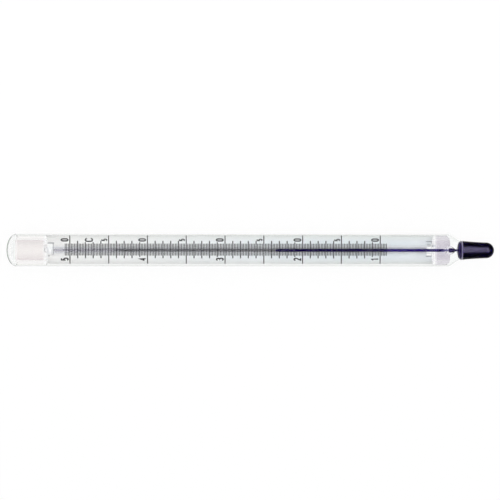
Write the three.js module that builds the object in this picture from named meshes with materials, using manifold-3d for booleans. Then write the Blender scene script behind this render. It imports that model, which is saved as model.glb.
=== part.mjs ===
// Darkroom thermometer of the enclosed-scale kind, lying on its side.
// Millimetres, +Z up. The bulb points along +X, the graduated face of the scale looks up along +Z,
// and the origin is under the middle of the glass, on the surface that it lies on.
import * as THREE from 'three';
import { mergeGeometries, mergeVertices } from 'three/addons/utils/BufferGeometryUtils.js';
import Module from 'manifold-3d';

const wasm = await Module();
wasm.setup();

// Outer glass sheath: blown dome, straight tube and drawn shoulder
const sheathRadius = 7.6;
const sheathWall = 0.6;
const domeDepth = 4.5;
const domeWall = 1.9;
const shoulderLength = 6.7;
const neckRadius = 4.4;
const neckWall = 0.3;

// Bulb, and the glass ring that fuses it to the neck of the sheath
const sealRingWidth = 0.62;
const sealRingProud = 0.12;
const bulbLength = 14.7;
const bulbTopRadius = 4.4;
const bulbEndRadius = 3.7;
const bulbWall = 0.35;
const bulbFlarePower = 1.5;
const crownDepth = 1.3;
const crownRise = 0.55;

// Capillary tube with its flat bore, expansion chamber, constriction and contraction chamber
const capillaryRadius = 1.5;
const boreWidth = 0.95;
const boreDepth = 0.25;
const constrictionLength = 1.6;
const constrictionWidth = 0.5;
const tipInset = 0.15;
const tipLength = 1.9;
const expansionInset = 4.75;
const expansionLength = 4.7;
const expansionRadius = 0.7;
const expansionEnd = 0.9;
const contractionLength = 3.1;
const contractionRadius = 0.65;
const contractionEnd = 0.6;
const throatRadius = 0.3;
const throatLength = 1.15;
const swellRadius = 2.2;
const swellLead = 1.3;
const waistRadius = 0.95;
const footRadius = 1.35;
const footLength = 0.5;

// Scale plate: graduations, and a tongue cut and bent near each end
const plateThickness = 0.35;
const plateTopMargin = 12.17;
const plateBottomMargin = 25.94;
const degreeLength = 3.636;
const lineWidth = 0.26;
const inkHeight = 0.06;
const fineTickLength = 5.1;
const degreeTickLength = 8.3;
const shortTickLength = 7;
const edgeMargin = 0.05;
const windowLength = 2.4;
const windowWidth = 5.7;
const kerf = 0.15;

// What the scale reads, in degrees Celsius, and its counts
const highestNumber = 50;
const lowestNumber = 10;
const ticksPerDegree = 5;
const degreesPerNumberLine = 5;
const numberLinesPerFigure = 2;
const ticksAboveHighest = 3;
const ticksBelowLowest = 4;
const reading = 23.5;

// Spacer sleeves that hold the plate's ends
const upperSleeveLength = 14.3;
const lowerSleeveLength = 7.9;
const sleeveWall = 3.1;
const sleeveChamfer = 1.3;
const slotDepth = 1.65;

// Spirit: the top stretch of the thread is the piece that travels
const meniscusLength = 8;
const meniscusHollow = 0.12;

// Clearances
const seatClearance = 0.1;
const sleeveClearance = 0.15;
const plateClearance = 0.15;
const fusedClearance = 0.05;
const wetClearance = 0.03;
const cutOverrun = 1;

// Facet counts
const tubeSides = 32;
const bulbSides = 24;
const capillarySides = 20;
const boreSides = 12;
const curveSteps = 8;

// Sizes that follow from those above
const sheathBore = sheathRadius - sheathWall;
const neckBore = neckRadius - neckWall;
const sleeveRadius = sheathBore - sleeveClearance;
const plateFront = -capillaryRadius - plateClearance;
const plateBack = plateFront - plateThickness;
const plateMiddle = (plateFront + plateBack) / 2;
const plateHalfWidth = Math.sqrt((sheathBore - seatClearance) ** 2 - plateBack ** 2);
const plateGrip = slotDepth - seatClearance;
const plateLength = plateTopMargin + (highestNumber - lowestNumber) * degreeLength + plateBottomMargin;
const windowInset = slotDepth + sleeveClearance;
const tongueLength = windowWidth - kerf;
const tongueWidth = windowLength - 2 * kerf;

// Stations along X, from the top of the dome to the tip of the bulb
const sleevesAndPlate = upperSleeveLength - plateGrip + plateLength - plateGrip + lowerSleeveLength;
const bodyLength = seatClearance + sleevesAndPlate - sleeveChamfer + seatClearance;
const glassToRing = domeDepth + bodyLength + shoulderLength;
const ringAndBulb = fusedClearance + sealRingWidth + fusedClearance + bulbLength;
const domeTip = -(glassToRing + ringAndBulb) / 2;
const bodyStart = domeTip + domeDepth;
const upperSleeveStart = bodyStart + seatClearance;
const upperSleeveEnd = upperSleeveStart + upperSleeveLength;
const plateStart = upperSleeveEnd - plateGrip;
const plateEnd = plateStart + plateLength;
const lowerSleeveStart = plateEnd - plateGrip;
const lowerSleeveEnd = lowerSleeveStart + lowerSleeveLength;
const shoulderStart = bodyStart + bodyLength;
const neckEnd = shoulderStart + shoulderLength;
const ringStart = neckEnd + fusedClearance;
const ringEnd = ringStart + sealRingWidth;
const bulbStart = ringEnd + fusedClearance;
const bulbTip = bulbStart + bulbLength;
const crownTop = neckEnd - crownDepth - crownRise;
const capillaryStart = plateStart + tipInset;
const capillaryEnd = crownTop - fusedClearance;
const expansionStart = plateStart + expansionInset;
const contractionStart = capillaryEnd - throatLength - contractionLength;
const constrictionStart = contractionStart - constrictionLength;
const meniscusAt = stationOf(reading);

// Place along X of a temperature on the scale
function stationOf(degrees) {
  return plateStart + plateTopMargin + (highestNumber - degrees) * degreeLength;
}

// Points of an outline from one place and radius to another, along a smooth S
function eased([startX, startR], [endX, endR]) {
  return Array.from({ length: curveSteps + 1 }, (_, i) => {
    const t = i / curveSteps;
    const share = (1 - Math.cos(Math.PI * t)) / 2;
    return [startX + (endX - startX) * t, startR + (endR - startR) * share];
  });
}

// Points of a quarter ellipse that leaves the axis side at startR and ends level at endR
function rounded([startX, startR], [endX, endR]) {
  return Array.from({ length: curveSteps + 1 }, (_, i) => {
    const angle = (Math.PI / 2) * (i / curveSteps);
    return [endX + (startX - endX) * Math.cos(angle), startR + (endR - startR) * Math.sin(angle)];
  });
}

// A three.js geometry as a solid that can be joined and cut
function solidFrom(geometry) {
  const bare = geometry.clone();
  bare.deleteAttribute('normal');
  bare.deleteAttribute('uv');
  const merged = mergeVertices(bare);
  const corners = Array.from(merged.index.array);
  const triVerts = [];
  for (let i = 0; i < corners.length; i += 3) {
    const triangle = corners.slice(i, i + 3);
    if (new Set(triangle).size === triangle.length) triVerts.push(...triangle);
  }
  const mesh = new wasm.Mesh({
    numProp: 3,
    vertProperties: new Float32Array(merged.attributes.position.array),
    triVerts: new Uint32Array(triVerts),
  });
  mesh.merge();
  return new wasm.Manifold(mesh);
}

// A solid turned about the X axis from [place along X, radius] points, its flats at the stated radii
function turned(outline, sides) {
  const toFlats = 1 / Math.cos(Math.PI / sides);
  const points = outline.map(([along, radius]) => new THREE.Vector2(radius * toFlats, along));
  const geometry = new THREE.LatheGeometry(points, sides, Math.PI / sides);
  return solidFrom(geometry.rotateZ(-Math.PI / 2));
}

// A solid of one Y-Z section, pushed along X from start to end
function extruded(section, start, end) {
  const geometry = new THREE.ExtrudeGeometry(section, {
    depth: end - start,
    bevelEnabled: false,
    curveSegments: boreSides,
  });
  const sideways = new THREE.Matrix4().makeBasis(
    new THREE.Vector3(0, 1, 0),
    new THREE.Vector3(0, 0, 1),
    new THREE.Vector3(1, 0, 0),
  );
  return solidFrom(geometry.applyMatrix4(sideways).translate(start, 0, 0));
}

// A box between two corners
function boxGeometry(low, high) {
  const size = high.map((value, i) => value - low[i]);
  const middle = high.map((value, i) => (value + low[i]) / 2);
  return new THREE.BoxGeometry(...size).translate(...middle);
}

// Section of the flat bore, or of its constriction, inset on every side by a clearance
function boreSection(inset, width = boreWidth) {
  const halfWidth = width / 2 - inset;
  const halfDepth = boreDepth / 2 - inset;
  return new THREE.Shape().absellipse(0, 0, halfWidth, halfDepth, 0, 2 * Math.PI);
}

// Sheath: the outside from the dome to the neck, then back along the inside
function sheathTube() {
  const outside = [
    ...rounded([domeTip, 0], [bodyStart, sheathRadius]),
    ...eased([shoulderStart, sheathRadius], [neckEnd, neckRadius]),
  ];
  const inside = [
    ...rounded([domeTip + domeWall, 0], [bodyStart, sheathBore]),
    ...eased([shoulderStart, sheathBore], [neckEnd, neckBore]),
  ];
  return turned([...outside, ...inside.reverse()], tubeSides);
}

// Ring of glass, slightly proud of the neck, that closes the sheath round the bulb's crown
function sealRing() {
  const inner = neckBore - seatClearance + fusedClearance;
  const middle = (ringStart + ringEnd) / 2;
  return turned([
    [ringStart, inner],
    [ringStart, neckRadius],
    [middle, neckRadius + sealRingProud],
    [ringEnd, neckRadius],
    [ringEnd, inner],
    [ringStart, inner],
  ], tubeSides);
}

// Outline of the bulb, or of its hollow when inset by the wall, from the crown down to the tip
function bulbOutline(inset, throat) {
  const neck = neckBore - seatClearance - inset;
  const crownStart = crownTop + inset;
  const step = bulbStart + inset;
  const endRadius = bulbEndRadius - inset;
  const roundStart = bulbTip - bulbEndRadius;
  const flare = Array.from({ length: curveSteps + 1 }, (_, i) => {
    const t = i / curveSteps;
    const share = (1 - t) ** bulbFlarePower;
    return [step + (roundStart - step) * t, endRadius + (bulbTopRadius - bulbEndRadius) * share];
  });
  const tip = rounded([bulbTip - inset, 0], [roundStart, endRadius]).reverse();
  return [
    [crownStart, throat],
    ...rounded([crownStart, throat], [neckEnd - crownRise, neck]).slice(1),
    [step, neck],
    ...flare,
    ...tip.slice(1),
  ];
}

// Thin-walled bulb, open at the throat where the capillary meets it
function bulbGlass() {
  const outside = bulbOutline(0, throatRadius);
  const inside = bulbOutline(bulbWall, throatRadius);
  return turned([...outside, ...inside.reverse(), outside[0]], bulbSides);
}

// Hollow of the contraction chamber and the throat below it, inset by a clearance
function contractionOutline(inset, end) {
  const widest = [contractionStart + contractionEnd, contractionRadius - inset];
  const throat = [contractionStart + contractionLength, throatRadius - inset];
  return [
    ...rounded([contractionStart + inset, 0], widest),
    ...eased(widest, throat).slice(1),
    [end, throatRadius - inset],
  ];
}

// Capillary: drawn tip, even tube, blown swelling round the contraction chamber, waist and foot
function capillaryTube() {
  const swellStart = contractionStart - swellLead;
  const swellPeak = contractionStart + contractionEnd;
  const footStart = capillaryEnd - footLength;
  const body = turned([
    ...rounded([capillaryStart, 0], [capillaryStart + tipLength, capillaryRadius]),
    ...eased([swellStart, capillaryRadius], [swellPeak, swellRadius]),
    ...eased([swellPeak, swellRadius], [footStart, waistRadius]).slice(1),
    [capillaryEnd, footRadius],
    [capillaryEnd, 0],
  ], capillarySides);
  const expansionStop = expansionStart + expansionLength;
  const expansion = turned([
    ...rounded([expansionStart, 0], [expansionStart + expansionEnd, expansionRadius]),
    ...rounded([expansionStop, 0], [expansionStop - expansionEnd, expansionRadius]).reverse(),
  ], capillarySides);
  const bore = extruded(boreSection(0), expansionStop - expansionEnd, constrictionStart);
  const constriction = extruded(
    boreSection(0, constrictionWidth),
    constrictionStart - cutOverrun,
    contractionStart + contractionEnd,
  );
  const contraction = turned([
    ...contractionOutline(0, capillaryEnd + cutOverrun),
    [capillaryEnd + cutOverrun, 0],
  ], boreSides);
  return body.subtract(bore.add(expansion).add(constriction).add(contraction));
}

// Spirit that fills the bulb, the throat and the contraction chamber, as one body
function bulbSpirit() {
  const hollow = bulbOutline(bulbWall + wetClearance, throatRadius - wetClearance);
  const outline = contractionOutline(wetClearance, crownTop);
  return turned([...outline, ...hollow], bulbSides);
}

// Spirit thread from the travelling meniscus to the contraction chamber, thin through the constriction
function spiritThread() {
  const start = meniscusAt + meniscusLength + wetClearance;
  const wide = extruded(boreSection(wetClearance), start, constrictionStart - wetClearance);
  const thin = extruded(
    boreSection(wetClearance, constrictionWidth),
    constrictionStart - cutOverrun,
    contractionStart - wetClearance,
  );
  return wide.add(thin);
}

// Top stretch of the thread, hollowed at its end as spirit that wets glass is
function spiritMeniscus() {
  const plug = extruded(boreSection(wetClearance), meniscusAt, meniscusAt + meniscusLength);
  const dimple = new THREE.SphereGeometry(1, boreSides, curveSteps);
  dimple.scale(meniscusHollow, boreWidth / 2, boreDepth / 2).translate(meniscusAt, 0, 0);
  return plug.subtract(solidFrom(dimple));
}

// Raised ink of the graduations, as separate bars that cross the plate. The degree that lies beside a
// figure has a shorter bar, to clear it.
function graduations() {
  const bars = [];
  const firstTick = lowestNumber * ticksPerDegree - ticksBelowLowest;
  const lastTick = highestNumber * ticksPerDegree + ticksAboveHighest;
  const ticksPerNumberLine = ticksPerDegree * degreesPerNumberLine;
  const ticksPerFigure = ticksPerNumberLine * numberLinesPerFigure;
  for (let tick = firstTick; tick <= lastTick; tick += 1) {
    let halfLength = fineTickLength / 2;
    if (tick % ticksPerDegree === 0) halfLength = degreeTickLength / 2;
    if (tick % ticksPerNumberLine === 0) halfLength = plateHalfWidth - edgeMargin;
    if (tick % ticksPerFigure === ticksPerDegree) halfLength = shortTickLength / 2;
    const at = stationOf(tick / ticksPerDegree);
    bars.push(boxGeometry(
      [at - lineWidth / 2, -halfLength, plateMiddle],
      [at + lineWidth / 2, halfLength, plateFront + inkHeight],
    ));
  }
  return solidFrom(mergeGeometries(bars));
}

// A strip as thick as the plate along a centre line of Y-Z points, pushed along X
function strip(line, start, end) {
  const half = plateThickness / 2;
  const sides = line.map((point, i) => {
    const before = line[Math.max(i - 1, 0)];
    const after = line[Math.min(i + 1, line.length - 1)];
    const normal = new THREE.Vector2(before.y - after.y, after.x - before.x).normalize();
    return [point.clone().addScaledVector(normal, half), point.clone().addScaledVector(normal, -half)];
  });
  const outline = [...sides.map(([left]) => left), ...sides.map(([, right]) => right).reverse()];
  return extruded(new THREE.Shape(outline), start, end);
}

// Tongue hooked forward over the capillary: straight from its bend, then round the tube
function upperTongue() {
  const reach = capillaryRadius + plateClearance + plateThickness / 2;
  const bend = new THREE.Vector2(-windowWidth / 2, plateMiddle);
  const straight = Math.sqrt(bend.lengthSq() - reach ** 2);
  const tangentAngle = bend.angle() - Math.acos(reach / bend.length());
  const wrap = (tongueLength - straight) / reach;
  const line = [bend];
  for (let i = 0; i <= curveSteps; i += 1) {
    const angle = tangentAngle - (wrap * i) / curveSteps;
    line.push(new THREE.Vector2(Math.cos(angle), Math.sin(angle)).multiplyScalar(reach));
  }
  const start = plateStart + windowInset + kerf;
  return strip(line, start, start + tongueWidth);
}

// Tongue bent back until its free end stands on the sheath's wall behind the plate
function lowerTongue() {
  const stand = sheathBore - plateThickness / 2 - seatClearance;
  const bend = new THREE.Vector2(windowWidth / 2, plateMiddle);
  const along = (stand ** 2 - bend.lengthSq() - tongueLength ** 2) / (2 * tongueLength);
  const turn = bend.angle() - Math.acos(along / bend.length());
  const end = new THREE.Vector2(Math.cos(turn), Math.sin(turn)).multiplyScalar(tongueLength).add(bend);
  const start = plateEnd - windowInset - windowLength + kerf;
  return strip([bend, end], start, start + tongueWidth);
}

// Scale plate with its two windows, the tongues left from them, and the graduations
function scalePlate() {
  const blank = solidFrom(boxGeometry(
    [plateStart, -plateHalfWidth, plateBack],
    [plateEnd, plateHalfWidth, plateFront],
  ));
  const windowStarts = [plateStart + windowInset, plateEnd - windowInset - windowLength];
  const windows = windowStarts.map((start) => boxGeometry(
    [start, -windowWidth / 2, plateBack - cutOverrun],
    [start + windowLength, windowWidth / 2, plateFront + cutOverrun],
  ));
  return blank
    .subtract(solidFrom(mergeGeometries(windows)))
    .add(upperTongue())
    .add(lowerTongue())
    .add(graduations());
}

// Slot across a sleeve's end that takes the end of the plate
function plateSlot(start, end) {
  return solidFrom(boxGeometry(
    [start, -sheathRadius, plateBack - seatClearance],
    [end, sheathRadius, plateFront + seatClearance],
  ));
}

// Upper sleeve, between the dome and the plate
function upperSleeve() {
  const inner = sleeveRadius - sleeveWall;
  const tube = turned([
    [upperSleeveStart, inner],
    [upperSleeveStart, sleeveRadius],
    [upperSleeveEnd, sleeveRadius],
    [upperSleeveEnd, inner],
    [upperSleeveStart, inner],
  ], tubeSides);
  return tube.subtract(plateSlot(upperSleeveEnd - slotDepth, upperSleeveEnd + cutOverrun));
}

// Lower sleeve, chamfered to seat in the shoulder of the sheath
function lowerSleeve() {
  const inner = sleeveRadius - sleeveWall;
  const tube = turned([
    [lowerSleeveStart, inner],
    [lowerSleeveStart, sleeveRadius],
    [lowerSleeveEnd - sleeveChamfer, sleeveRadius],
    [lowerSleeveEnd, sleeveRadius - sleeveChamfer],
    [lowerSleeveEnd, inner],
    [lowerSleeveStart, inner],
  ], tubeSides);
  return tube.subtract(plateSlot(lowerSleeveStart - cutOverrun, lowerSleeveStart + slotDepth));
}

// A solid back as a named mesh with its material
function piece(name, solid, look) {
  const { vertProperties, triVerts } = solid.getMesh();
  const geometry = new THREE.BufferGeometry();
  geometry.setAttribute('position', new THREE.BufferAttribute(vertProperties, 3));
  geometry.setIndex(new THREE.BufferAttribute(triVerts, 1));
  geometry.computeVertexNormals();
  const mesh = new THREE.Mesh(geometry, new THREE.MeshStandardMaterial(look));
  mesh.name = name;
  return mesh;
}

const clearGlass = { color: 0xe6ecea, roughness: 0.04, metalness: 0, transparent: true, opacity: 0.3 };
const stemGlass = { color: 0xdfe4ea, roughness: 0.03, metalness: 0, transparent: true, opacity: 0.4 };
const milkyPlastic = { color: 0xe8dfe0, roughness: 0.45, metalness: 0 };
const whitePlate = { color: 0xdde3e6, roughness: 0.5, metalness: 0 };
const violetSpirit = { color: 0x1d123d, roughness: 0.08, metalness: 0 };

const thermometer = new THREE.Group();
thermometer.position.z = sheathRadius;
thermometer.add(
  piece('sheath_tube', sheathTube(), clearGlass),
  piece('seal_ring', sealRing(), clearGlass),
  piece('bulb_glass', bulbGlass(), stemGlass),
  piece('capillary_tube', capillaryTube(), stemGlass),
  piece('bulb_spirit', bulbSpirit(), violetSpirit),
  piece('spirit_thread', spiritThread(), violetSpirit),
  piece('spirit_meniscus', spiritMeniscus(), violetSpirit),
  piece('scale_plate', scalePlate(), whitePlate),
  piece('upper_sleeve', upperSleeve(), milkyPlastic),
  piece('lower_sleeve', lowerSleeve(), milkyPlastic),
);

export default thermometer;
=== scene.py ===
from math import acos, atan2, cos, pi, radians, sin, sqrt

import bmesh
import bpy
import numpy as np
from mathutils import Matrix, Vector


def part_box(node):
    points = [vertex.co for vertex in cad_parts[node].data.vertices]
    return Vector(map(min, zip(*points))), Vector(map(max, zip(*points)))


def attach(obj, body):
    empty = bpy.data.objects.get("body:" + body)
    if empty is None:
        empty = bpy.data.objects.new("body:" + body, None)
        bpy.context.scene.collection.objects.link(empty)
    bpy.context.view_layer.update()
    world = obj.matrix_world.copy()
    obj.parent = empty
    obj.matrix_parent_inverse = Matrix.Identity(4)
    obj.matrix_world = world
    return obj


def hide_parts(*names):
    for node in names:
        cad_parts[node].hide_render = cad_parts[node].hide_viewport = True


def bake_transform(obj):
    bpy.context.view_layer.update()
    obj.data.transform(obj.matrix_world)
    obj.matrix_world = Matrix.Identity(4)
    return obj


# Darkroom thermometer: clear sheath, capillary, violet spirit, printed plate and two clear plastic sleeves
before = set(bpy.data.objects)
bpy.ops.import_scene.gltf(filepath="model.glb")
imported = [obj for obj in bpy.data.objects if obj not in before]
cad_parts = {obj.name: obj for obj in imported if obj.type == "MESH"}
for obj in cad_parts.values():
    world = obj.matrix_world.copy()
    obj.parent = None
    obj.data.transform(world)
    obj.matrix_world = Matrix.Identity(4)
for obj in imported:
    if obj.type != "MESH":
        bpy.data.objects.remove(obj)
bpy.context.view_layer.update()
print("frame loaded with", len(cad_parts), "nodes")

mm = 0.001  # lengths are worked out in millimetres and stored in metres
tiny = 0.0001  # points nearer than this, in millimetres, count as one
fixedBody, movingBody = "glass_body", "spirit_column"


# Lowest and highest corner of a CAD node, in millimetres
def spanOf(node):
    low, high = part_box(node)
    return np.array(low) / mm, np.array(high) / mm


# Outline points between two ends, straight
def straight(start, end, steps=40):
    return np.linspace(start, end, steps + 1)


# Outline points between two ends: x runs evenly, the radius follows (1 - cos(pi t)) / 2
def eased(start, end, steps):
    t = np.linspace(0, 1, steps + 1)
    share = (1 - np.cos(pi * t)) / 2
    return np.stack([start[0] + (end[0] - start[0]) * t, start[1] + (end[1] - start[1]) * share], axis=1)


# Outline points on a quarter ellipse: the radius grows as sin(a) while x closes in on the end as cos(a)
def rounded(start, end, steps=32):
    angle = np.linspace(0, pi / 2, steps + 1)
    along = end[0] + (start[0] - end[0]) * np.cos(angle)
    return np.stack([along, start[1] + (end[1] - start[1]) * np.sin(angle)], axis=1)


# Closed outline with its corners taken off: from cut A to cut B round a corner C runs the parabola
# (1 - t)^2 A + 2 t (1 - t) C + t^2 B, both cuts lying `reach` away from C
def softened(corners, reach, steps=6):
    corner = np.array(corners, float)
    cuts = []
    for shift in (1, -1):
        step = np.roll(corner, shift, axis=0) - corner
        cuts.append(corner + step / np.linalg.norm(step, axis=1)[:, None] * reach)
    t = np.linspace(0, 1, steps + 1)[None, :, None]
    curve = (1 - t) ** 2 * cuts[0][:, None] + 2 * t * (1 - t) * corner[:, None] + t ** 2 * cuts[1][:, None]
    return curve.reshape(-1, 2)


# One outline from several parts, without the points that repeat the one before
def chain(*parts):
    points = np.concatenate([np.atleast_2d(part) for part in parts])
    step = np.linalg.norm(np.diff(points, axis=0), axis=1)
    return points[np.concatenate([[True], step > tiny])]


# Rings of an outline turned about the tube's axis: x stays, y and z are the radius times cosine and sine
def turnedRings(outline, sides):
    angle = np.linspace(0, 2 * pi, sides, endpoint=False)
    along = np.repeat(outline[:, :1], sides, axis=1)
    radius = outline[:, 1:]
    return np.stack([along, radius * np.cos(angle), axisHeight + radius * np.sin(angle)], axis=-1)


# Faces between neighbouring rings. A looped skin joins its last ring to its first, and any other has those
# two drawn together to a pole each. The sum of a . (b x c) over the faces' triangles is six times their
# volume, and its sign turns the faces outwards.
def skin(rings, looped=False):
    body = rings if looped else rings[1:-1]
    count, sides = body.shape[:2]
    index = np.arange(count * sides).reshape(count, sides)
    below = index if looped else index[:-1]
    above = np.roll(index, -1, axis=0) if looped else index[1:]
    quads = np.stack([below, np.roll(below, -1, 1), np.roll(above, -1, 1), above], axis=-1).reshape(-1, 4)
    points = body.reshape(-1, 3)
    faces = quads.tolist()
    if not looped:
        first, last = count * sides, count * sides + 1
        points = np.concatenate([points, rings[[0, -1]].mean(axis=1)])
        start = np.stack([np.full(sides, first), np.roll(index[0], -1), index[0]], axis=-1)
        end = np.stack([index[-1], np.roll(index[-1], -1), np.full(sides, last)], axis=-1)
        faces = faces + start.tolist() + end.tolist()
    a, b, c, d = (points[quads[:, i]] for i in range(4))
    sixVolumes = np.einsum("ij,ij->i", a, np.cross(b, c)) + np.einsum("ij,ij->i", a, np.cross(c, d))
    if sixVolumes.sum() < 0:
        faces = [face[::-1] for face in faces]
    return points, faces


# Several separate skins as one
def gathered(skins):
    points, faces, offset = [], [], 0
    for more, theirs in skins:
        points.append(more)
        faces += [[i + offset for i in face] for face in theirs]
        offset += len(more)
    return np.concatenate(points), faces


# A mesh piece in the frame, smooth except across edges sharper than the given angle. No body means that the
# piece is blended between two.
def addPiece(name, points, faces, materials, slot, sharp=35, body=fixedBody, replaces=()):
    mesh = bpy.data.meshes.new(name)
    mesh.from_pydata((points * mm).tolist(), [], faces)
    for material in materials:
        mesh.materials.append(material)
    mesh.shade_smooth()
    mesh.set_sharp_from_angle(angle=radians(sharp))
    mesh.update()
    piece = bpy.data.objects.new(name, mesh)
    bpy.context.scene.collection.objects.link(piece)
    if body:
        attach(piece, body)
    if replaces:
        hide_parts(*replaces)
    return piece


# Gives each band of a turned skin its own material, by number
def finishBands(piece, bands, sides):
    finishes = np.zeros(len(piece.data.polygons), np.int32)
    finishes[:len(bands) * sides] = np.repeat(bands, sides)
    piece.data.polygons.foreach_set("material_index", finishes)


# A material with the given values in its shader
def newMaterial(name, values):
    material = bpy.data.materials.new(name)
    material.use_nodes = True
    tree = material.node_tree
    shader = tree.nodes["Principled BSDF"]
    for socket, value in values.items():
        shader.inputs[socket].default_value = value
    return material, tree, shader


colourSockets = {"factor": 0, "first": 6, "second": 7, "result": 2}  # a mix node's, which share their names


# Colour between two, by the factor that a socket gives; each end is a colour or a socket
def mixColour(tree, factor, first, second):
    mix = tree.nodes.new("ShaderNodeMix")
    mix.data_type = "RGBA"
    for place, colour in (("first", first), ("second", second)):
        socket = mix.inputs[colourSockets[place]]
        if isinstance(colour, tuple):
            socket.default_value = (*colour, 1)
        else:
            tree.links.new(colour, socket)
    tree.links.new(factor, mix.inputs[colourSockets["factor"]])
    return mix.outputs[colourSockets["result"]]


# What a math node makes of one or two sockets
def mathOf(tree, operation, *sockets):
    node = tree.nodes.new("ShaderNodeMath")
    node.operation = operation
    for index, socket in enumerate(sockets):
        tree.links.new(socket, node.inputs[index])
    return node.outputs["Value"]


# A number carried from one span to another, held at its ends
def mapSpan(tree, value, start, end, low, high):
    span = tree.nodes.new("ShaderNodeMapRange")
    for name, number in (("From Min", start), ("From Max", end), ("To Min", low), ("To Max", high)):
        span.inputs[name].default_value = number
    tree.links.new(value, span.inputs["Value"])
    return span.outputs["Result"]


noiseDetail = 3
noiseSpan = (0.3, 0.7)  # nearly all of the noise lies between these


# Noise on object coordinates, as a number that stays between two ends; size is its patch in millimetres
def noiseBetween(tree, size, low, high):
    coordinates = tree.nodes.new("ShaderNodeTexCoord")
    noise = tree.nodes.new("ShaderNodeTexNoise")
    noise.inputs["Scale"].default_value = 1 / (size * mm)
    noise.inputs["Detail"].default_value = noiseDetail
    tree.links.new(coordinates.outputs["Object"], noise.inputs["Vector"])
    return mapSpan(tree, noise.outputs["Fac"], *noiseSpan, low, high)


# Object coordinates, which are the frame's, as the three sockets X, Y and Z
def placeIn(tree):
    coordinates = tree.nodes.new("ShaderNodeTexCoord")
    parts = tree.nodes.new("ShaderNodeSeparateXYZ")
    tree.links.new(coordinates.outputs["Object"], parts.inputs["Vector"])
    return parts.outputs


# A number that goes from 0 to 1 along the tube between two stations in millimetres
def alongTube(tree, start, end):
    return mapSpan(tree, placeIn(tree)["X"], start * mm, end * mm, 0, 1)


# A number that goes from 0 to 1 between two distances from the tube's middle plane, in millimetres
def acrossTube(tree, start, end):
    return mapSpan(tree, mathOf(tree, "ABSOLUTE", placeIn(tree)["Y"]), start * mm, end * mm, 0, 1)


# How squarely a face is seen: 0 face on and 1 edge on, shifted by the blend
def facingOf(tree, blend):
    weight = tree.nodes.new("ShaderNodeLayerWeight")
    weight.inputs["Blend"].default_value = blend
    return weight.outputs["Facing"]


# Shader values of clear glass or plastic: bend is the index of refraction, and shine tints the mirror image
# that it gives face on
def clearValues(finish):
    return {
        "Transmission Weight": 1.0,
        "Roughness": finish["rough"],
        "IOR": finish["bend"],
        "Specular Tint": (*finish["shine"], 1),
    }


# Glass or clear plastic: its face colour where the eye looks straight through, drifting a little with noise,
# and its rim colour where the eye looks along the wall. A finish may keep that change to a span of the
# facing weight, give the rim another colour at the tube's tip, and turn pale at one end.
def clearLook(name, finish):
    material, tree, shader = newMaterial(name, clearValues(finish))
    facing, rim = facingOf(tree, finish["rimBlend"]), finish["rim"]
    if "rimSpan" in finish:
        facing = mapSpan(tree, facing, *finish["rimSpan"], 0, 1)
    if "tipRim" in finish:
        rim = mixColour(tree, alongTube(tree, *finish["tipSpan"]), finish["tipRim"], rim)
    face = mixColour(tree, noiseBetween(tree, finish["patch"], 0, 1), finish["face"], finish["drift"])
    if "pale" in finish:
        pale = alongTube(tree, *finish["paleSpan"])
        face, rim = mixColour(tree, pale, face, finish["pale"]), mixColour(tree, pale, rim, finish["pale"])
    tree.links.new(mixColour(tree, facing, face, rim), shader.inputs["Base Color"])
    return material


# Sheath: a tube with a domed end on the left and a shoulder down to the bulb's neck on the right. Its dome
# and its inside have finishes that change some of these values, and the dome's rim is painted shade at its
# tip.
sheath = {
    "wall": 0.4,
    "domeDepth": 4.5,
    "domeWall": 1.9,
    "shoulder": 6.7,
    "neckRadius": 4.4,
    "neckWall": 0.3,
    "sides": 192,
    "face": (0.995, 1.0, 0.998),
    "drift": (0.985, 0.992, 0.99),
    "rim": (0.72, 0.75, 0.72),
    "rimBlend": 0.5,
    "rimSpan": (0.44, 0.68),
    "patch": 14,
    "bend": 1.3,
    "shine": (0.2, 0.2, 0.2),
    "rough": 0.0,
    # the dome's rim turns near black towards its tip: painted shade for the dark outline of its thick glass
    "dome": {"tipRim": (0.0, 0.01, 0.0), "tipSpan": (-112, -109.6), "rimSpan": (0.57, 0.77)},
    "inside": {"rim": (0.97, 0.98, 0.97), "tipRim": (0.8, 0.82, 0.8), "tipSpan": (-110.3, -109.6)},
}
tubeLow, tubeHigh = spanOf("sheath_tube")
axisHeight = (tubeLow[2] + tubeHigh[2]) / 2
sheathRadius = (tubeHigh[2] - tubeLow[2]) / 2
sheathBore = sheathRadius - sheath["wall"]
neckBore = sheath["neckRadius"] - sheath["neckWall"]
domeTip, neckEnd = tubeLow[0], tubeHigh[0]
bodyStart, shoulderStart = domeTip + sheath["domeDepth"], neckEnd - sheath["shoulder"]
insideTip = domeTip + sheath["domeWall"]
sheathLooks = [
    clearLook("sheathGlass", sheath),
    clearLook("domeGlass", {**sheath, **sheath["dome"]}),
    clearLook("sheathInside", {**sheath, **sheath["inside"]}),
]

sheathOutline = chain(
    rounded((domeTip, 0), (bodyStart, sheathRadius), steps=48),
    straight((bodyStart, sheathRadius), (shoulderStart, sheathRadius)),
    eased((shoulderStart, sheathRadius), (neckEnd, sheath["neckRadius"]), steps=48),
    eased((neckEnd, neckBore), (shoulderStart, sheathBore), steps=48),
    straight((shoulderStart, sheathBore), (bodyStart, sheathBore)),
    rounded((insideTip, 0), (bodyStart, sheathBore), steps=40)[::-1],
)
tubeSkin = skin(turnedRings(sheathOutline, sheath["sides"]))
tube = addPiece("sheathTube", *tubeSkin, sheathLooks, "sheath_glass", replaces=["sheath_tube"])
station = sheathOutline[1:-2, 0]  # each band's first ring
outside = np.arange(len(station)) < np.argmax(sheathOutline[1:, 0])
ofTube, ofDome, ofInside = range(len(sheathLooks))
bands = np.where(station < bodyStart - tiny, ofDome, ofTube)
finishBands(tube, np.where(outside, bands, ofInside), sheath["sides"])

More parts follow.
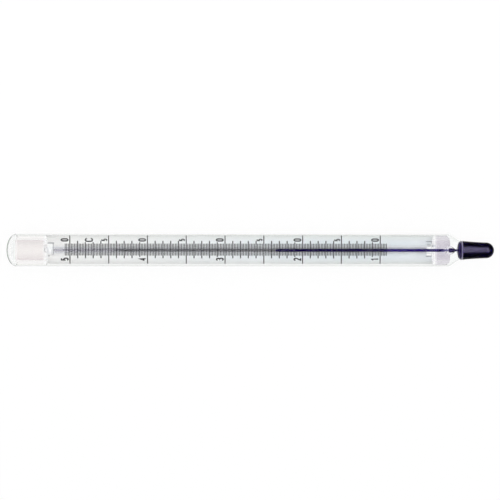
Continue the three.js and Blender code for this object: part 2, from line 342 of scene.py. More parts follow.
# Ring of fused glass between neck and bulb: straight inside, half an ellipse outside
ring = {
    "proud": 0.12,  # past the neck's outside
    "gap": 0.05,  # to the bulb
    "seat": 0.1,  # inside the neck's bore, less the gap
    "sides": 128,
    "face": ((0.2, 0.17, 0.4), (0.26, 0.22, 0.44)),
    # painted reflection: white where the ring is seen edge on
    "edge": (0.93, 0.92, 0.96),
    "paintedReflectionBlend": 0.45,
    "patch": 2,
    "clear": 0.5,
    "rough": 0.15,
    "beadSteps": 12,
}
ringLow, ringHigh = spanOf("seal_ring")
ringMiddle, ringHalf = (ringLow[0] + ringHigh[0]) / 2, (ringHigh[0] - ringLow[0]) / 2
ringInner = neckBore - ring["seat"] + ring["gap"]
turn = np.linspace(0, pi, ring["beadSteps"] + 1)
beadRadius = sheath["neckRadius"] + ring["proud"] * np.sin(turn)
beadLine = np.stack([ringMiddle - ringHalf * np.cos(turn), beadRadius], axis=1)
ringOutline = chain((ringLow[0], ringInner), beadLine, (ringHigh[0], ringInner))


# Fused glass of the ring: half clear and half milky, violet from the spirit behind it where it faces the eye
# and white towards its edge, a painted reflection
def ringLook():
    values = {"Transmission Weight": ring["clear"], "Roughness": ring["rough"], "IOR": sheath["bend"]}
    material, tree, shader = newMaterial("ringLook", values)
    face = mixColour(tree, noiseBetween(tree, ring["patch"], 0, 1), *ring["face"])
    colour = mixColour(tree, facingOf(tree, ring["paintedReflectionBlend"]), face, ring["edge"])
    tree.links.new(colour, shader.inputs["Base Color"])
    return material


ringSkin = skin(turnedRings(ringOutline, ring["sides"]), looped=True)
addPiece("sealRing", *ringSkin, [ringLook()], "sheath_glass", replaces=["seal_ring"])
print("sheath and ring made")

# Bulb: a shell with a domed crown up in the neck, flared walls and a round end
bulb = {
    "topRadius": 4.4,
    "endRadius": 3.7,
    "wall": 0.15,
    "flarePower": 1.5,
    "crownRise": 0.55,
    "fused": 0.04,  # into the neck's wall
    "flareSteps": 32,
    "sides": 128,
    "face": (0.98, 0.98, 1.0),
    "drift": (0.96, 0.96, 0.99),
    "rim": (0.3, 0.28, 0.4),
    "rimBlend": 0.5,
    "patch": 5,
    "bend": 1.15,
    "shine": (0.16, 0.14, 0.25),
    "rough": 0.28,
}
bulbLow, bulbHigh = spanOf("bulb_glass")
crownTop, bulbTip = bulbLow[0], bulbHigh[0]
bulbStart = ringHigh[0] + ring["gap"]
bulbLook = clearLook("bulbLook", bulb)


# Outline of the bulb, or of a surface inset from it: a quarter ellipse for the crown, a radius that falls as
# (1 - t) to the flare's power, and a quarter circle at the tip
def bulbOutline(inset, throat):
    neck = neckBore + bulb["fused"] - inset
    crownStart, step = crownTop + inset, bulbStart + inset
    endRadius, roundStart = bulb["endRadius"] - inset, bulbTip - bulb["endRadius"]
    t = np.linspace(0, 1, bulb["flareSteps"] + 1)
    flare = endRadius + (bulb["topRadius"] - bulb["endRadius"]) * (1 - t) ** bulb["flarePower"]
    return chain(
        (crownStart, throat),
        rounded((crownStart, throat), (neckEnd - bulb["crownRise"], neck), steps=24),
        (step, neck),
        np.stack([step + (roundStart - step) * t, flare], axis=1),
        rounded((bulbTip - inset, 0), (roundStart, endRadius))[::-1],
    )


# Capillary: a glass rod with a domed tip, a swell over the contraction and a waist down to its foot on the
# bulb. Its hollow is a round chamber, a flat bore and a drop-shaped contraction that narrows to a throat.
# The wall of the bore reads as a grey line, lighter near the chamber than far from it.
capillary = {
    "radius": 1.5,
    "tip": 1.9,
    "swellRadius": 2.2,
    "swellLead": 1.3,
    "waistRadius": 0.95,
    "footRadius": 1.35,
    "foot": 0.5,
    "boreWidth": 1.04,
    "boreDepth": 0.25,
    "pinchLength": 1.6,
    "pinchWidth": 0.5,
    "chamberInset": 4.6,
    "chamberLength": 4.7,
    "chamberRadius": 0.7,
    "chamberEnd": 0.9,
    "dropLength": 3.1,
    "dropRadius": 0.65,
    "dropEnd": 0.6,
    "throatRadius": 0.3,
    "throatLength": 1.15,
    "sides": 72,
    "face": (0.99, 0.995, 1.0),
    "drift": (0.98, 0.985, 0.99),
    "rim": (0.97, 0.975, 1.0),
    "rimBlend": 0.4,
    "patch": 6,
    "bend": 1.25,
    "swellBend": 1.6,
    "shine": (0.15, 0.15, 0.15),
    "rough": 0.0,
    "tipRim": (0.4, 0.38, 0.42),
    "tipSpan": (-95.6, -94.9),
    "boreNear": (0.76, 0.74, 0.79),
    "boreFar": (0.43, 0.43, 0.45),
    "boreSpan": (-66, -60),
}
throat = capillary["throatRadius"]
bulbShell = chain(bulbOutline(0, throat), bulbOutline(bulb["wall"], throat)[::-1])
bulbSkin = skin(turnedRings(bulbShell, bulb["sides"]), looped=True)
addPiece("bulbGlass", *bulbSkin, [bulbLook], "stem_glass", replaces=["bulb_glass"])

stemLow, stemHigh = spanOf("capillary_tube")
stemStart, stemEnd = stemLow[0], stemHigh[0]
chamberStart = stemStart + capillary["chamberInset"]
chamberStop = chamberStart + capillary["chamberLength"]
throatStart = stemEnd - capillary["throatLength"]
dropStart = throatStart - capillary["dropLength"]
dropWide = dropStart + capillary["dropEnd"]
pinchStart = dropStart - capillary["pinchLength"]
pinchLead = pinchStart - capillary["boreWidth"]


# Half width and half depth of the hollow at each station, larger by what grow asks. The chamber's ends and
# the drop's first end are round, as sqrt(1 - s^2), the drop falls to the throat as (1 + cos(pi s)) / 2, the
# bore narrows to its pinch as the same curve, and the widest of these holds.
def hollowAt(along, grow):
    fromEnds = np.minimum(along - chamberStart, chamberStop - along)
    share = 1 - np.clip(fromEnds / capillary["chamberEnd"], 0, 1)
    chamber = np.where(fromEnds < 0, 0, capillary["chamberRadius"] * np.sqrt(np.clip(1 - share ** 2, 0, 1)))
    opening = 1 - np.clip((along - dropStart) / capillary["dropEnd"], 0, 1)
    closing = np.clip((along - dropWide) / (throatStart - dropWide), 0, 1)
    taper = throat + (capillary["dropRadius"] - throat) * (1 + np.cos(pi * closing)) / 2
    drop = np.where(along < dropStart, 0, np.sqrt(np.clip(1 - opening ** 2, 0, 1)) * taper)
    widest = np.maximum(chamber, drop)
    inBore = (along > chamberStop - capillary["chamberEnd"]) & (along < dropWide)
    pinching = np.clip((along - pinchStart) / capillary["boreWidth"] + 0.5, 0, 1)
    narrowing = (capillary["pinchWidth"] - capillary["boreWidth"]) * (1 - np.cos(pi * pinching)) / 2
    width = np.maximum(widest, np.where(inBore, (capillary["boreWidth"] + narrowing) / 2, 0))
    depth = np.maximum(widest, np.where(inBore, capillary["boreDepth"] / 2, 0))
    return width + grow, depth + grow


# Rings of the hollow: an ellipse at each station, half its width along y and half its depth along z
def hollowRings(along, sides, grow=0):
    width, depth = hollowAt(along, grow)
    angle = np.linspace(0, 2 * pi, sides, endpoint=False)
    return np.stack([
        np.repeat(along[:, None], sides, axis=1),
        width[:, None] * np.cos(angle),
        axisHeight + depth[:, None] * np.sin(angle),
    ], axis=-1)


# Stations that crowd towards the start as 1 - cos(a) does
def crowded(start, end, num):
    return start + (end - start) * (1 - np.cos(np.linspace(0, pi / 2, num)))


# Several lists of stations as one, in order and each once
def ordered(*parts, decimals=5):
    return np.unique(np.round(np.concatenate(parts), decimals))


hollowStations = ordered(
    crowded(chamberStart, chamberStart + capillary["chamberEnd"], num=20),
    crowded(chamberStop, chamberStop - capillary["chamberEnd"], num=20),
    np.linspace(chamberStop, pinchStart, num=60),
    np.linspace(pinchLead, dropStart, num=24),
    crowded(dropStart, dropWide, num=24),
    np.linspace(dropWide, throatStart, num=32),
    [stemEnd],
)

swellStart, footStart = dropStart - capillary["swellLead"], stemEnd - capillary["foot"]
stemRadius, tipEnd = capillary["radius"], stemStart + capillary["tip"]
stemOutline = chain(
    rounded((stemStart, 0), (tipEnd, stemRadius), steps=32),
    straight((tipEnd, stemRadius), (swellStart, stemRadius), steps=60),
    eased((swellStart, stemRadius), (dropWide, capillary["swellRadius"]), steps=24),
    eased((dropWide, capillary["swellRadius"]), (footStart, capillary["waistRadius"]), steps=32),
    (stemEnd, capillary["footRadius"]),
)
stemGlass = clearLook("stemGlass", capillary)
swellGlass = clearLook("swellGlass", {**capillary, "bend": capillary["swellBend"]})


def boreLook():
    material, tree, shader = newMaterial("boreLook", clearValues(capillary))
    fade = alongTube(tree, *capillary["boreSpan"])
    colour = mixColour(tree, fade, capillary["boreNear"], capillary["boreFar"])
    tree.links.new(colour, shader.inputs["Base Color"])
    return material


stemOutside = turnedRings(stemOutline, capillary["sides"])
stemInside = hollowRings(hollowStations, capillary["sides"])[::-1]
stemLooks = [stemGlass, boreLook(), swellGlass]
stemSkin = skin(np.concatenate([stemOutside, stemInside]))
stem = addPiece("capillaryTube", *stemSkin, stemLooks, "stem_glass", replaces=["capillary_tube"])
ofStem, ofBore, ofSwell = range(len(stemLooks))
outsideBands = np.where(stemOutline[1:, 0] > swellStart, ofSwell, ofStem)
insideBands = np.where(hollowStations[::-1][:-2] <= dropStart, ofBore, ofStem)
finishBands(stem, np.concatenate([outsideBands, insideBands]), capillary["sides"])
print("bulb and capillary made")

# Spirit: a dark violet fill in the bulb and a thread in the bore, whose top end travels with the meniscus
spirit = {
    "film": 0.03,  # into the glass around it, so that no gap shows
    "wetting": 0.3,  # climb of the meniscus at the wall
    "plug": 0.9,  # length of the piece that travels
    "overlap": 0.25,  # of the thread and that piece
    "blendLength": 80,  # over which the thread stretches
    "fill": ((0.0, 0.0, 0.0003), (0.00004, 0.0, 0.0006)),
    "drop": (0.045, 0.025, 0.16),
    "dropSpan": (99.1, 97.7),
    "thread": ((0.003, 0.001, 0.04), (0.008, 0.003, 0.06)),
    "end": (0.026, 0.012, 0.17),
    "endSpan": (62, 66),
    "pinch": (0.3, 0.27, 0.62),
    "pinchSpan": (89.8, 91.8),
    "patch": 2.5,
    "rough": 0.3,
    "bend": 1.36,
    "shine": 0.0,
    "sides": 40,
    "capSteps": 13,
    "sideSteps": 8,
}
film = spirit["film"]


# Spirit: its two tones drift with noise, and each lighter tone takes over along its own span of the tube
def spiritLook(name, tones, lighter):
    values = {"Roughness": spirit["rough"], "IOR": spirit["bend"], "Specular IOR Level": spirit["shine"]}
    material, tree, shader = newMaterial(name, values)
    colour = mixColour(tree, noiseBetween(tree, spirit["patch"], 0, 1), *tones)
    for key in lighter:
        colour = mixColour(tree, alongTube(tree, *spirit[key + "Span"]), colour, spirit[key])
    tree.links.new(colour, shader.inputs["Base Color"])
    return material


fillLook = spiritLook("fillLook", spirit["fill"], ["drop"])
threadLook = spiritLook("threadLook", spirit["thread"], ["end", "pinch"])
inDrop = hollowStations >= dropWide
bulbFill = chain(
    rounded((dropStart - film, 0), (dropWide, capillary["dropRadius"] + film), steps=24),
    np.stack([hollowStations[inDrop], hollowAt(hollowStations[inDrop], film)[0]], axis=1),
    bulbOutline(bulb["wall"] - film, throat + film),
)
fillSkin = skin(turnedRings(bulbFill, bulb["sides"]))
addPiece("bulbSpirit", *fillSkin, [fillLook], "spirit", replaces=["bulb_spirit"])

meniscusAt = spanOf("spirit_meniscus")[0][0]
plugEnd = meniscusAt + spirit["plug"]
threadStations = np.concatenate([
    np.linspace(plugEnd - spirit["overlap"], pinchLead, num=110),
    np.linspace(pinchLead, dropStart + film, num=30)[1:],
])
threadRings = hollowRings(np.clip(threadStations, None, dropStart), spirit["sides"], film)
threadRings[:, :, 0] = threadStations[:, None]
threadRings = np.concatenate([threadRings[:1], threadRings, threadRings[-1:]])
thread = addPiece("spiritThread", *skin(threadRings), [threadLook], "spirit", body=None,
                  replaces=["spirit_thread"])
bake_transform(thread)

# Meniscus: its end is hollow along the axis and climbs the wall as the fourth power of the distance from it
share = np.sin(np.linspace(0, pi / 2, spirit["capSteps"] + 1))
rim = hollowRings(np.full(share.size, plugEnd), spirit["sides"], film)
centre = np.array([plugEnd, 0, axisHeight])
hollowEnd = centre + (rim - centre) * share[:, None, None]
hollowEnd[:, :, 0] = meniscusAt + spirit["wetting"] * (1 - share[:, None] ** 4)
side = rim[:spirit["sideSteps"]].copy()
side[:, :, 0] = np.linspace(meniscusAt, plugEnd, spirit["sideSteps"] + 1)[1:, None]
meniscusSkin = skin(np.concatenate([hollowEnd, side, side[-1:]]))
addPiece("spiritMeniscus", *meniscusSkin, [threadLook], "spirit", body=movingBody,
         replaces=["spirit_meniscus"])
print("spirit made")

# Plate: one pale sheet with a tab at either end and a tongue bent out of each of two windows, the upper
# round the capillary and the lower back to the sheath. Grey lines of painted shade lie along the cut edges
# of a window, for the shade in and beside the cuts: each is a rectangle of stations, counted from the
# window's start, and rows.
plate = {
    "thickness": 0.35,
    "clearance": 0.15,  # under the capillary
    "tab": (0.4, 2.3),  # rows of either end tab
    "tabLength": 1.65,
    "windowInset": 1.8,
    "windowLength": 2.4,
    "windowWidth": 5.7,
    "kerf": 0.15,  # cut round a tongue
    "bevel": 0.05,
    "sharp": 50,  # degrees: a sharper edge is a cut, and a flatter one belongs to a bend
    "seat": 0.05,  # to the sheath's wall
    "tones": ((0.79, 0.835, 0.87), (0.82, 0.86, 0.89)),
    "outerTones": ((0.88, 0.905, 0.905), (0.9, 0.925, 0.925)),
    "outerSpan": (4.0, 6.4),
    # painted light: a pale strip behind the capillary that lifts the shadow of the capillary and its thread
    "paintedLightStrip": (0.98, 0.98, 1.0),
    "paintedLightStripSpan": (1.9, 1.5),
    # painted light: warmer and paler towards the plate's top end
    "paintedTopLight": (0.96, 0.95, 0.945),
    "paintedTopLightSpan": (30, -92),
    # painted shade: grey of the lines along the windows' cut edges, standing in for the shade in and beside
    # the cuts
    "shade": (0.3, 0.3, 0.33),
    "paintedShadeSoft": 0.12,
    "upperPaintedShades": (((2.1, 2.7), (-2.55, 2.85)), ((-0.1, 3.0), (2.85, 3.3)), ((-0.1, 0.9), (-3.25, -2.85))),
    "lowerPaintedShades": (((2.25, 2.7), (-2.85, 3.85)), ((-0.3, 2.4), (3.65, 4.05)), ((-0.3, 2.4), (-3.3, -2.85))),
    "patch": 9,
    "rough": (0.42, 0.58),
    "roughPatch": 0.7,
}
plateLow, plateHigh = spanOf("scale_plate")
plateStart, plateEnd = plateLow[0], plateHigh[0]
plateFront = -capillary["radius"] - plate["clearance"]
plateMiddle = plateFront - plate["thickness"] / 2
plateBack = plateFront - plate["thickness"]
plateHalf = sqrt((sheathBore - plate["seat"]) ** 2 - plateBack ** 2)
windowHalf = plate["windowWidth"] / 2
tongueLength = plate["windowWidth"] - plate["kerf"]
tongueWidth = plate["windowLength"] - 2 * plate["kerf"]
upperWindow = plateStart + plate["windowInset"]
lowerWindow = plateEnd - plate["windowInset"] - plate["windowLength"]


# A strip of sheet: the same y and z line at each of two stations
def stripPatch(line, start, end):
    along = np.repeat(np.array([start, end])[:, None], len(line), axis=1)
    across, high = np.repeat(line[None, :, 0], 2, axis=0), np.repeat(line[None, :, 1], 2, axis=0)
    index = np.arange(2 * len(line)).reshape(2, -1)
    faces = np.stack([index[0, :-1], index[1, :-1], index[1, 1:], index[0, 1:]], axis=-1)
    return np.stack([along, across, axisHeight + high], axis=-1).reshape(-1, 3), faces.tolist()


# Line of the upper tongue: straight from its bend to the circle round the capillary, then along that circle
def hookLine():
    reach = capillary["radius"] + plate["clearance"] + plate["thickness"] / 2
    bend = np.array([-windowHalf, plateMiddle])
    away = np.hypot(*bend)
    flat = sqrt(away ** 2 - reach ** 2)
    tangent = atan2(bend[1], bend[0]) % (2 * pi) - acos(reach / away)
    angle = tangent - np.linspace(0, (tongueLength - flat) / reach, num=25)
    return np.concatenate([[bend], reach * np.stack([np.cos(angle), np.sin(angle)], axis=1)])


# Line of the lower tongue: straight from its bend to where it stands on the sheath's wall
def springLine():
    stand = sheathBore - plate["thickness"] / 2 - plate["seat"]
    bend = np.array([windowHalf, plateMiddle])
    away = np.hypot(*bend)
    along = (stand ** 2 - away ** 2 - tongueLength ** 2) / (2 * tongueLength)
    turned = atan2(bend[1], bend[0]) - acos(along / away)
    return bend + np.linspace(0, 1, num=9)[:, None] * tongueLength * np.array([cos(turned), sin(turned)])


# Flat sheet on a grid of stations by rows, without the cells of the windows and those beside the end tabs
def sheetPatch():
    fullStart, fullEnd = plateStart + plate["tabLength"], plateEnd - plate["tabLength"]
    edges = [plateStart, fullStart, fullEnd, plateEnd]
    for start in (upperWindow, lowerWindow):
        inner = start + plate["kerf"]
        edges += [start, inner, inner + tongueWidth, start + plate["windowLength"]]
    between = np.linspace(upperWindow, lowerWindow, num=32)[2:-2]  # clear of both windows
    stations = ordered(edges, between)
    rows = np.array([-plateHalf, -windowHalf, *plate["tab"], windowHalf, plateHalf])
    along, across = np.meshgrid(stations, rows, indexing="ij")
    points = np.stack([along, across, np.full_like(along, axisHeight + plateMiddle)], axis=-1).reshape(-1, 3)
    index = np.arange(len(points)).reshape(along.shape)
    cells = np.stack([index[:-1, :-1], index[1:, :-1], index[1:, 1:], index[:-1, 1:]], axis=-1)
    middle = (stations[:-1] + stations[1:]) / 2
    inTab = rows[:-1] == plate["tab"][0]
    inWindow = (rows[:-1] >= -windowHalf) & (rows[1:] <= windowHalf)
    holed = ((middle < fullStart) | (middle > fullEnd))[:, None] & ~inTab
    for start in (upperWindow, lowerWindow):
        holed |= ((middle > start) & (middle < start + plate["windowLength"]))[:, None] & inWindow
    return points, cells[~holed].tolist()


# 1 inside a rectangle on the plate and 0 outside: the least of four ramps, each one soft edge wide to either
# side of a border. It places the painted shade along the windows.
def paintedShadeMask(tree, stations, rows):
    parts, edge = placeIn(tree), plate["paintedShadeSoft"]
    least = None
    for axis, (start, end) in (("X", stations), ("Y", rows)):
        for place, inwards in ((start, edge), (end, -edge)):
            ramp = mapSpan(tree, parts[axis], (place - inwards) * mm, (place + inwards) * mm, 0, 1)
            least = mathOf(tree, "MINIMUM", least, ramp) if least else ramp
    return least


# Printed sheet: cool grey, paler towards its long edges, with painted light that turns it warmer and paler
# towards its top, a strip of painted light behind the capillary that lifts the shadow there, and grey lines
# of painted shade at the windows
def plateLook():
    material, tree, shader = newMaterial("plateLook", {})
    shade = noiseBetween(tree, plate["patch"], 0, 1)
    middle, outer = mixColour(tree, shade, *plate["tones"]), mixColour(tree, shade, *plate["outerTones"])
    colour = mixColour(tree, acrossTube(tree, *plate["outerSpan"]), middle, outer)
    # painted light, warmer and paler towards the top end
    colour = mixColour(tree, alongTube(tree, *plate["paintedTopLightSpan"]), colour, plate["paintedTopLight"])
    # painted light behind the capillary, lifting its shadow
    colour = mixColour(tree, acrossTube(tree, *plate["paintedLightStripSpan"]), colour, plate["paintedLightStrip"])
    # grey lines of painted shade along the windows' cut edges
    for window, paintedShades in ((upperWindow, plate["upperPaintedShades"]), (lowerWindow, plate["lowerPaintedShades"])):
        for (start, end), rows in paintedShades:
            paintedShadeWeight = paintedShadeMask(tree, (window + start, window + end), rows)
            colour = mixColour(tree, paintedShadeWeight, colour, plate["shade"])
    tree.links.new(colour, shader.inputs["Base Color"])
    tree.links.new(noiseBetween(tree, plate["roughPatch"], *plate["rough"]), shader.inputs["Roughness"])
    return material


upperTongue, lowerTongue = upperWindow + plate["kerf"], lowerWindow + plate["kerf"]
sheet = gathered([
    sheetPatch(),
    stripPatch(hookLine(), upperTongue, upperTongue + tongueWidth),
    stripPatch(springLine(), lowerTongue, lowerTongue + tongueWidth),
])
platePiece = addPiece("scalePlate", *sheet, [plateLook()], "scale_plate", sharp=plate["sharp"],
                      replaces=["scale_plate"])
work = bmesh.new()
work.from_mesh(platePiece.data)
bmesh.ops.remove_doubles(work, verts=work.verts, dist=tiny * mm)
bmesh.ops.recalc_face_normals(work, faces=work.faces)
work.to_mesh(platePiece.data)
work.free()
thick = platePiece.modifiers.new("thickness", "SOLIDIFY")
thick.thickness, thick.offset, thick.use_even_offset = plate["thickness"] * mm, 0, True
soft = platePiece.modifiers.new("edges", "BEVEL")
soft.width, soft.segments = plate["bevel"] * mm, 2
soft.limit_method, soft.angle_limit = "ANGLE", radians(plate["sharp"])
print("plate made")

# Scale: ticks of 0.2 degree, whole degrees, and long lines at every fifth degree. Whole degrees are cut
# short where a figure or the letter stands.
scale = {
    "highest": 50,
    "lowest": 10,
    "perDegree": 5,
    "perNumberLine": 5,
    "ticksAbove": 3,
    "ticksBelow": 4,
    "topMargin": 12.17,  # from the plate's top end to the highest line
    "degree": 3.636,
    "fineLine": 0.37,
    "degreeLine": 0.5,
    "longLine": 0.47,
    "fine": 5.7,
    "whole": 8.3,
    "short": 7.0,
    "edge": 0.05,  # from a long line to the plate's edge
    "letterAt": 47,
    "ink": 0.02,  # over the plate's face, and as much under it
    "tones": ((0.01, 0.01, 0.012), (0.03, 0.03, 0.034)),
    "patch": 0.4,
    "rough": 0.6,
    "shine": 0.3,
    "sharp": 30,
}
inkTop = axisHeight + plateFront + scale["ink"]
inkBottom = axisHeight + plateFront - scale["ink"]


def inkLook():
    values = {"Roughness": scale["rough"], "Specular IOR Level": scale["shine"]}
    material, tree, shader = newMaterial("inkLook", values)
    shade = noiseBetween(tree, scale["patch"], 0, 1)
    tree.links.new(mixColour(tree, shade, *scale["tones"]), shader.inputs["Base Color"])
    return material


blackInk = inkLook()


# Station of a temperature: evenly spaced, counted down from the highest
def stationOf(degrees):
    return plateStart + scale["topMargin"] + (scale["highest"] - degrees) * scale["degree"]


# Bars of ink: each is a box between two stations, two rows and the two sides of the ink
def barSkins(centres, lowerEnds, upperEnds, width):
    low = [[-1, 0, 0], [1, 0, 0], [1, 1, 0], [-1, 1, 0]]
    high = [[-1, 0, 1], [1, 0, 1], [1, 1, 1], [-1, 1, 1]]
    corners = np.array(low + high)
    x = centres[:, None] + corners[:, 0] * width / 2
    y = np.where(corners[:, 1] == 0, -lowerEnds[:, None], upperEnds[:, None])
    z = np.where(corners[:, 2] == 0, inkBottom, inkTop) + np.zeros_like(x)
    box = np.array([[0, 3, 2, 1], [4, 5, 6, 7], [0, 1, 5, 4], [1, 2, 6, 5], [2, 3, 7, 6], [3, 0, 4, 7]])
    faces = (np.arange(len(centres))[:, None, None] * len(corners) + box).reshape(-1, 4)
    return np.stack([x, y, z], axis=-1).reshape(-1, 3), faces.tolist()


firstTick = scale["lowest"] * scale["perDegree"] - scale["ticksBelow"]
lastTick = scale["highest"] * scale["perDegree"] + scale["ticksAbove"]
ticks = np.arange(firstTick, lastTick + 1)
degrees = ticks / scale["perDegree"]
isWhole = ticks % scale["perDegree"] == 0
isNumber = ticks % (scale["perDegree"] * scale["perNumberLine"]) == 0
besideFigure = isWhole & (degrees % 10 == 1)  # cut short, to clear the figures of the tens
besideLetter = isWhole & np.isin(degrees - scale["letterAt"], (0, 1))  # cut short on the letter's side
upper = np.where(isWhole, scale["whole"], scale["fine"]) / 2
upper = np.where(isNumber, plateHalf - scale["edge"], upper)
lower = np.where(besideFigure, scale["short"] / 2, upper)
upper = np.where(besideFigure | besideLetter, scale["short"] / 2, upper)
places = stationOf(degrees)
for name, chosen, width in (
    ("fineTicks", ~isWhole, scale["fineLine"]),
    ("degreeTicks", isWhole & ~isNumber, scale["degreeLine"]),
    ("numberLines", isNumber, scale["longLine"]),
):
    bars = barSkins(places[chosen], lower[chosen], upper[chosen], width)
    addPiece(name, *bars, [blackInk], "scale_plate", sharp=scale["sharp"])

# Figures: each is a list of strokes, in shares of its width and height
figures = {
    "height": 3.7,
    "width": 0.98,
    "stroke": 0.6,
    "row": 4.6,
    "gap": 0.6,  # over its line
    "smallHeight": 2.75,
    "smallWidth": 0.76,
    "smallStroke": 0.5,
    "letterHeight": 3.9,
    "letterWidth": 1.36,
    "mitre": 1.8,  # the most that a bend widens a ribbon
}


# Points on an ellipse between two angles in degrees
def arc(cx, cy, rx, ry, start, end, count=17):
    angle = np.radians(np.linspace(start, end, count))
    return np.stack([cx + rx * np.cos(angle), cy + ry * np.sin(angle)], axis=1)


strokeShares = {
    "0": [chain(arc(0.5, 0.72, 0.5, 0.28, 0, 180), arc(0.5, 0.28, 0.5, 0.28, 180, 360), (1, 0.72))],
    "1": [chain((0.12, 0.76), (0.6, 1.0), (0.6, 0.0))],
    "2": [chain(arc(0.5, 0.74, 0.48, 0.26, 170, -40), (0.02, 0.0), (1.0, 0.0))],
    "3": [chain(arc(0.48, 0.76, 0.46, 0.24, 160, -90), arc(0.48, 0.26, 0.5, 0.26, 90, -160))],
    "4": [chain((1.0, 0.28), (0.0, 0.28), (0.72, 1.0), (0.72, 0.0))],
    "5": [chain((0.92, 1.0), (0.14, 1.0), (0.06, 0.52), arc(0.48, 0.32, 0.5, 0.32, 140, -150))],
    "C": [chain(arc(0.5, 0.7, 0.5, 0.3, 15, 180), arc(0.5, 0.3, 0.5, 0.3, 180, 345))],
}


# Ribbon along a stroke: each point moves half the width along the mean normal n of its two steps, divided by
# the cosine between n and the step's own normal, so that the ribbon keeps its width round a bend
def ribbonSkin(path, width):
    step = np.diff(path, axis=0)
    step = step / np.linalg.norm(step, axis=1)[:, None]
    before, after = np.vstack([step[:1], step]), np.vstack([step, step[-1:]])
    normal = np.stack([-(before + after)[:, 1], (before + after)[:, 0]], axis=1)
    normal = normal / np.linalg.norm(normal, axis=1)[:, None]
    flat = np.stack([-before[:, 1], before[:, 0]], axis=1)
    mitre = np.clip(1 / np.abs((normal * flat).sum(axis=1)), 1, figures["mitre"])[:, None]
    left, right = path + normal * mitre * width / 2, path - normal * mitre * width / 2
    low, high = np.full((len(path), 1), inkBottom), np.full((len(path), 1), inkTop)
    rings = np.stack([np.hstack([left, low]), np.hstack([left, high]),
                      np.hstack([right, high]), np.hstack([right, low])], axis=1)
    return skin(np.concatenate([rings[:1], rings, rings[-1:]]))


# A figure set with its foot towards the bulb and its right towards +y
def figureSkins(letter, foot, row, height, width, stroke):
    made = []
    for shares in strokeShares[letter]:
        across = (shares[:, 0] - 0.5) * width + row
        upward = foot - (stroke / 2 + shares[:, 1] * (height - stroke))
        made.append(ribbonSkin(np.stack([upward, across], axis=1), stroke))
    return made


def addFigures(name, skins):
    addPiece(name, *gathered(skins), [blackInk], "scale_plate", sharp=scale["sharp"])


large = figures["height"], figures["width"], figures["stroke"]
small = figures["smallHeight"], figures["smallWidth"], figures["smallStroke"]
for number in range(scale["lowest"], scale["highest"] + 1, scale["perNumberLine"]):
    foot = stationOf(number) - figures["gap"]
    if number % 10:
        skins = figureSkins("5", foot, figures["row"], *small)
    else:
        skins = figureSkins(str(number // 10), foot, -figures["row"], *large)
        skins += figureSkins("0", foot, figures["row"], *large)
    addFigures(f"figure{number}", skins)
letter = figures["letterHeight"], figures["letterWidth"], figures["stroke"]
addFigures("letterC", figureSkins("C", stationOf(scale["letterAt"]), figures["row"], *letter))
print("scale made")

# Sleeves: clear plastic bushes between sheath and capillary, whose bores take the tabs of the plate. The
# wall of the bore has a face and a rim colour of its own, and each sleeve turns pale at the end towards the
# plate.
sleeve = {
    "seat": 0.15,  # to the sheath's wall
    "soft": 0.25,  # taken off each side of a corner
    "sides": 128,
    "rimBlend": 0.35,
    "patch": 3,
    "bend": 1.1,
    "shine": (1.0, 1.0, 1.0),
    "rough": 0.1,
    "pale": (0.99, 0.985, 0.99),
    "boreBlend": 0.6,
}
upperSleeve = {
    "wall": 2.3,
    "chamfer": 0,
    "face": (0.975, 0.955, 0.945),
    "drift": (0.955, 0.925, 0.925),
    "rim": (0.96, 0.945, 0.945),
    "boreFace": (0.975, 0.955, 0.945),
    "boreRim": (0.78, 0.73, 0.75),
    "paleSpan": (-96.9, -96.4),
}
lowerSleeve = {
    "wall": 2.4,
    "chamfer": 1.3,
    "face": (0.78, 0.75, 0.795),
    "drift": (0.75, 0.725, 0.78),
    "rim": (0.72, 0.705, 0.73),
    "boreFace": (0.985, 0.975, 0.99),
    "boreRim": (0.93, 0.91, 0.94),
    "paleSpan": (87.2, 86.7),
}


# One sleeve: its outline is a rectangle with soft corners, the outer one at the bulb's end cut off where a
# chamfer asks
def addSleeve(which, own):
    low, high = spanOf(which + "_sleeve")
    start, end, chamfer = low[0], high[0], own["chamfer"]
    outer = sheathBore - sleeve["seat"]
    inner = outer - own["wall"]
    corners = [(start, inner), (start, outer), (end - chamfer, outer), (end, outer - chamfer), (end, inner)]
    if not chamfer:
        corners.pop(3)
    outline = softened(corners, sleeve["soft"])
    bore = {"face": own["boreFace"], "rim": own["boreRim"], "rimBlend": sleeve["boreBlend"]}
    looks = [
        clearLook(which + "Plastic", {**sleeve, **own}),
        clearLook(which + "Bore", {**sleeve, **own, **bore}),
    ]
    piece = addPiece(which + "Sleeve", *skin(turnedRings(outline, sleeve["sides"]), looped=True), looks,
                     "sleeve_plastic", replaces=[which + "_sleeve"])
    radius = outline[:, 1]
    ofOutside, ofBore = range(len(looks))
    inBore = np.maximum(radius, np.roll(radius, -1)) < inner + tiny
    finishBands(piece, np.where(inBore, ofBore, ofOutside), sleeve["sides"])


addSleeve("upper", upperSleeve)
addSleeve("lower", lowerSleeve)
print("sleeves made")

# Stage: a white floor and world, one large softbox overhead, and a strip that lights the bulb alone, whose
# reflection lies along it. The floor shows white to the camera, in reflections and through glass.
studio = {
    "floorSize": 4.0,
    "floorColour": (0.92, 0.92, 0.92),
    "floorRough": 0.9,
    "shown": 0.93,  # share of pure white in the floor where it is seen
    "worldLevel": 0.8,  # light from the world, where it isn't seen
    "softboxAt": (0, 0.29, 0.6),
    "softboxSize": (0.9, 0.9),
    "softboxPower": 2.6,
    "stripAt": (0.4, 0.29, 0.55),
    "stripSize": (0.5, 0.9),
    "stripPower": 200.0,
    "bounces": 32,
    "glossyBounces": 8,
}


# Whether a ray is one that sees the background: from the camera, in a reflection or through glass
def backgroundRay(tree):
    path = tree.nodes.new("ShaderNodeLightPath")
    found = path.outputs["Is Camera Ray"]
    for kind in ("Is Glossy Ray", "Is Transmission Ray"):
        found = mathOf(tree, "MAXIMUM", found, path.outputs[kind])
    return found


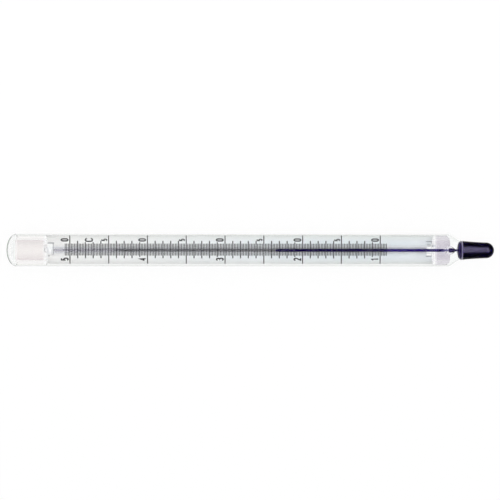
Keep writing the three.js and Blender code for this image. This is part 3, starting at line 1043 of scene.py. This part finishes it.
def makeFloor():
    half = studio["floorSize"] / 2
    corners = [(-half, -half, 0), (half, -half, 0), (half, half, 0), (-half, half, 0)]
    mesh = bpy.data.meshes.new("floor")
    mesh.from_pydata(corners, [], [[0, 1, 2, 3]])
    floor = bpy.data.objects.new("floor", mesh)
    bpy.context.scene.collection.objects.link(floor)
    values = {"Base Color": (*studio["floorColour"], 1), "Roughness": studio["floorRough"]}
    material, tree, shader = newMaterial("floorWhite", values)
    glow = tree.nodes.new("ShaderNodeEmission")
    mix = tree.nodes.new("ShaderNodeMixShader")
    tree.links.new(mapSpan(tree, backgroundRay(tree), 0, 1, 0, studio["shown"]), mix.inputs["Fac"])
    tree.links.new(shader.outputs["BSDF"], mix.inputs[1])
    tree.links.new(glow.outputs["Emission"], mix.inputs[2])
    tree.links.new(mix.outputs["Shader"], tree.nodes["Material Output"].inputs["Surface"])
    mesh.materials.append(material)


def makeWorld():
    world = bpy.data.worlds.new("studio")
    bpy.context.scene.world = world
    world.use_nodes = True
    tree = world.node_tree
    background = tree.nodes["Background"]
    background.inputs["Color"].default_value = (1, 1, 1, 1)
    level = mapSpan(tree, backgroundRay(tree), 0, 1, studio["worldLevel"], 1)
    tree.links.new(level, background.inputs["Strength"])


def makeSoftbox(name, place, size, power):
    light = bpy.data.lights.new(name, "AREA")
    light.shape = "RECTANGLE"
    light.size, light.size_y = size
    light.energy = power
    lamp = bpy.data.objects.new(name, light)
    lamp.location = place
    lamp.visible_camera = False
    bpy.context.scene.collection.objects.link(lamp)
    return lamp


makeFloor()
makeWorld()
makeSoftbox("softbox", studio["softboxAt"], studio["softboxSize"], studio["softboxPower"])
strip = makeSoftbox("bulbStrip", studio["stripAt"], studio["stripSize"], studio["stripPower"])
bulbOnly = bpy.data.collections.new("bulbOnly")
bulbOnly.objects.link(bpy.data.objects["bulbGlass"])
strip.light_linking.receiver_collection = bulbOnly
bpy.context.scene.cycles.max_bounces = studio["bounces"]
bpy.context.scene.cycles.transmission_bounces = studio["bounces"]
bpy.context.scene.cycles.glossy_bounces = studio["glossyBounces"]

# Camera: above the middle, leaning towards +y as the photograph's does
view = {
    "width": 234.085,  # across the picture, at the tube's axis
    "centreX": -0.14,
    "centreY": 0.11,
    "distance": 1300,
    "sensor": 36,
    "tilt": 9.8,
    "roll": 0.035,
}
camera = bpy.data.cameras.new("camera")
camera.sensor_width = view["sensor"]
camera.lens = camera.sensor_width * view["distance"] / view["width"]
eye = bpy.data.objects.new("camera", camera)
bpy.context.scene.collection.objects.link(eye)
tilt = radians(view["tilt"])
target = Vector((view["centreX"] * mm, view["centreY"] * mm, axisHeight * mm))
away = Vector((0, sin(tilt), cos(tilt))) * view["distance"] * mm
turned = Matrix.Rotation(-tilt, 4, "X") @ Matrix.Rotation(radians(view["roll"]), 4, "Z")
eye.matrix_world = Matrix.Translation(target + away) @ turned
bpy.context.scene.camera = eye
bpy.context.scene.view_settings.view_transform = "Standard"
print("stage, lights and camera made")
